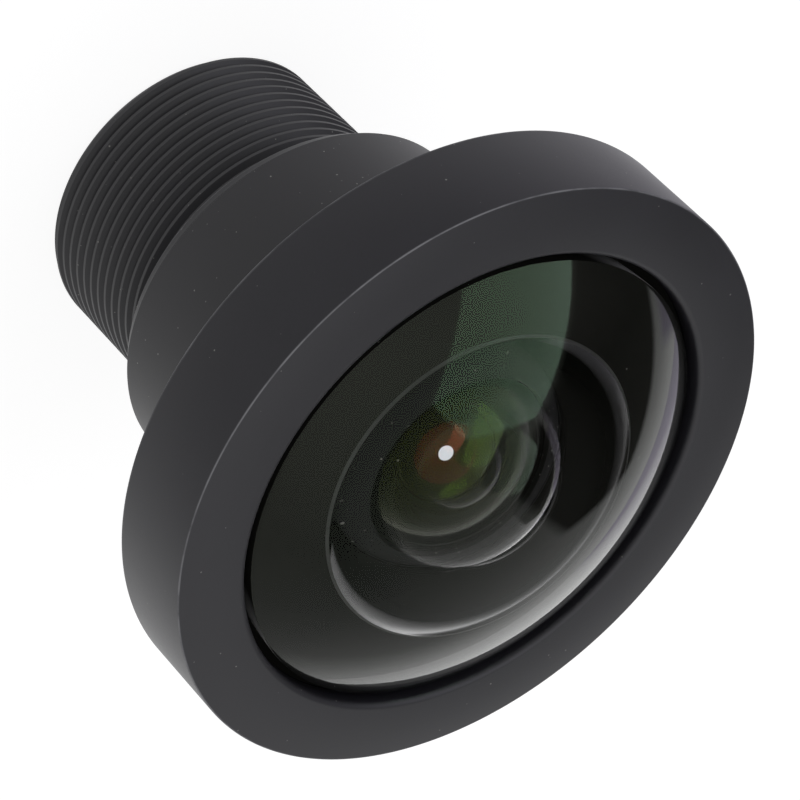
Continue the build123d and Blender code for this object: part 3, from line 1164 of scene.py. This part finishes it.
# The tent's level by the sine of the elevation: down from the horizon, and up again to the top
TENT_LOW = (0.02, 0.22, 1.0, 0.57)
TENT_HIGH = (0.75, 0.95, 0.57, 0.9)

# What the dome mirrors: corners as (azimuth, elevation) in degrees, softness of the edge, and colour
SOFTBOX_CORNERS = [(-112.0, 25.0), (-112.0, 84.0), (-20.0, 76.0), (-35.0, 56.0), (-73.0, 28.0)]
SOFTBOX_SOFTNESS = 0.015
SOFTBOX_COLOUR = (2.9, 3.9, 3.4)
SOFTBOX_SOFT_COLOUR = (1.05, 1.05, 1.15)
GAP_CORNERS = [(-85.0, 7.0), (-62.0, 42.0), (-30.0, 57.0), (-4.0, 50.0), (-3.0, 22.0), (-14.0, 9.0)]
GAP_SOFTNESS = 0.04
GAP_COLOUR = (0.05, 0.05, 0.045)
CLOTH_CORNERS = [(-75.0, -40.0), (-75.0, 12.0), (-30.0, 8.0), (-14.0, -40.0)]
CLOTH_SOFTNESS = 0.05
CLOTH_COLOUR = (0.52, 0.48, 0.60)


def seen_by_eye(w, path):
    """1 for rays that show the background: straight from the camera, by a reflection or through glass."""
    shown = w.math("MAXIMUM", path["Is Camera Ray"], path["Is Glossy Ray"])
    return w.math("MAXIMUM", shown, path["Is Transmission Ray"])


def before_diffuse(w, path):
    """1 for light that has met no matt surface on its way to the eye."""
    return w.math("LESS_THAN", path["Diffuse Depth"], 0.5)


def towards(azimuth, elevation):
    """The direction of an azimuth from +Y towards +X and an elevation, in degrees."""
    turned, rise = math.radians(azimuth), math.radians(elevation)
    level = math.cos(rise)
    return Vector((level * math.sin(turned), level * math.cos(turned), math.sin(rise)))


def window(w, direction, corners, softness):
    """A mask of the directions in a convex window. Its corners go round clockwise as the lens sees it."""
    mask = 1.0
    for here, there in zip(corners, corners[1:] + corners[:1]):
        across = towards(*here).cross(towards(*there)).normalized()
        inside = w.add("ShaderNodeVectorMath", direction, across, operation="DOT_PRODUCT")
        mask = w.math("MULTIPLY", mask, w.ramp(inside.outputs["Value"], 0.0, softness))
    return mask


class LENS_OT_stage(Maker, Operator):
    """Makes the pale floor, the soft light and the camera"""

    bl_idname = "lens.stage"
    bl_label = "Stage"

    def execute(self, context):
        sizes = context.scene.lens_stage
        self.floor(sizes)
        self.world(context)
        self.camera(sizes)
        context.scene.view_settings.view_transform = "Standard"
        context.scene.cycles.max_bounces = 32
        context.scene.cycles.transmission_bounces = 28
        context.scene.cycles.glossy_bounces = 6
        context.scene.cycles.transparent_max_bounces = 40
        return {"FINISHED"}

    def floor(self, sizes):
        """A wide disc under the lens: white to the eye, with the lens's shadow kept as a soft grey."""
        material = bpy.data.materials.new("pale_floor")
        w = blank_nodes(material)
        lit = w.add("ShaderNodeBsdfDiffuse", FLOOR_GREY).outputs[0]
        shadow = w.add("ShaderNodeBsdfDiffuse", SHADOW_GREY).outputs[0]
        place = w.add("ShaderNodeSeparateXYZ", w.add("ShaderNodeTexCoord").outputs["Object"]).outputs
        path = w.add("ShaderNodeLightPath").outputs
        mirrored = w.ramp(place["Y"], *MIRRORED_GLOW)
        through = w.ramp(place["X"], *THROUGH_GLOW)
        clear = w.math("MULTIPLY", path["Is Transmission Ray"], before_diffuse(w, path))
        level = w.add("ShaderNodeMix", clear, FLOOR_GLOW, through).outputs[0]
        level = w.add("ShaderNodeMix", path["Is Glossy Ray"], level, mirrored).outputs[0]
        side = w.math("MULTIPLY", w.ramp(place["X"], *CLOTH_SIDE), path["Is Glossy Ray"])
        glow = w.add("ShaderNodeEmission", mixed(w, side, WHITE, CLOTH_COLOUR), level).outputs[0]
        shown = w.add("ShaderNodeAddShader", shadow, glow).outputs[0]
        mix = w.add("ShaderNodeMixShader", seen_by_eye(w, path), lit, shown).outputs[0]
        w.fill(w.add("ShaderNodeOutputMaterial"), Surface=mix)
        bm = bmesh.new()
        bmesh.ops.create_circle(bm, cap_ends=True, segments=96, radius=sizes.floor_radius)
        floor = added("floor", mesh_from("floor", bm, [material]))

    def world(self, context):
        """White to the eye. The glass mirrors a tent with a softbox on one side and a dark gap beside it."""
        world = bpy.data.worlds.new("soft_tent")
        context.scene.world = world
        w = blank_nodes(world)
        direction = w.add("ShaderNodeTexCoord").outputs["Generated"]
        up = w.add("ShaderNodeSeparateXYZ", direction).outputs["Z"]
        level = w.math("MAXIMUM", w.ramp(up, *TENT_LOW), w.ramp(up, *TENT_HIGH))
        path = w.add("ShaderNodeLightPath").outputs
        sharp = w.math("MULTIPLY", path["Is Singular Ray"], before_diffuse(w, path))
        softbox = mixed(w, sharp, SOFTBOX_SOFT_COLOUR, SOFTBOX_COLOUR)
        shown = w.add("ShaderNodeCombineColor", level, level, level).outputs[0]
        for corners, softness, tint in (
            (GAP_CORNERS, GAP_SOFTNESS, GAP_COLOUR),
            (CLOTH_CORNERS, CLOTH_SOFTNESS, CLOTH_COLOUR),
            (SOFTBOX_CORNERS, SOFTBOX_SOFTNESS, softbox),
        ):
            shown = mixed(w, window(w, direction, corners, softness), shown, tint)
        seen = mixed(w, path["Is Camera Ray"], shown, WHITE)
        back = w.add("ShaderNodeBackground", seen, 1.0).outputs[0]
        w.fill(w.add("ShaderNodeOutputWorld"), Surface=back)

    def camera(self, sizes):
        """The camera at the angle of the photograph."""
        data = bpy.data.cameras.new("camera")
        data.lens = sizes.focal_length
        data.sensor_width = sizes.sensor
        data.clip_start, data.clip_end = 10 * MM, 10.0
        camera = added("camera", data)
        camera.location = sizes.camera_place
        camera.rotation_euler = sizes.camera_turn
        bpy.context.scene.camera = camera


class LENS_PT_panel(Panel):
    """The sidebar panel that lists the lens's pieces and sizes"""

    bl_idname = "LENS_PT_panel"
    bl_label = "Board lens"
    bl_space_type = "VIEW_3D"
    bl_region_type = "UI"
    bl_category = "Board Lens"

    def draw(self, context):
        for operator in OPERATORS:
            self.layout.operator(operator.bl_idname)
        for name in SETTINGS:
            group = getattr(context.scene, name)
            column = self.layout.column(align=True)
            for prop in group.__annotations__:
                column.prop(group, prop)


SETTINGS = {
    "lens_thread": ThreadSizes,
    "lens_barrel": BarrelSizes,
    "lens_cap": CapSizes,
    "lens_front_glass": FrontGlassSizes,
    "lens_inner_glass": InnerGlassSizes,
    "lens_spacers": SpacerSizes,
    "lens_rear_ring": RearRingSizes,
    "lens_finish": Finish,
    "lens_stage": StageSizes,
}
OPERATORS = (
    LENS_OT_stage,
    LENS_OT_barrel,
    LENS_OT_cap,
    LENS_OT_front_glass,
    LENS_OT_inner_glass,
    LENS_OT_spacers,
    LENS_OT_seal,
    LENS_OT_rear_ring,
)


def register():
    """Registers the settings, the operators and the panel."""
    for kind in (*SETTINGS.values(), *OPERATORS, LENS_PT_panel):
        bpy.utils.register_class(kind)
    for name, kind in SETTINGS.items():
        setattr(bpy.types.Scene, name, PointerProperty(type=kind))


def unregister():
    """Takes them away again."""
    for name in SETTINGS:
        delattr(bpy.types.Scene, name)
    for kind in (LENS_PT_panel, *OPERATORS, *SETTINGS.values()):
        bpy.utils.unregister_class(kind)


def main():
    """Makes the lens, piece by piece."""
    register()
    for operator in OPERATORS:
        group, name = operator.bl_idname.split(".")
        getattr(getattr(bpy.ops, group), name)()


if __name__ == "__main__":
    main()
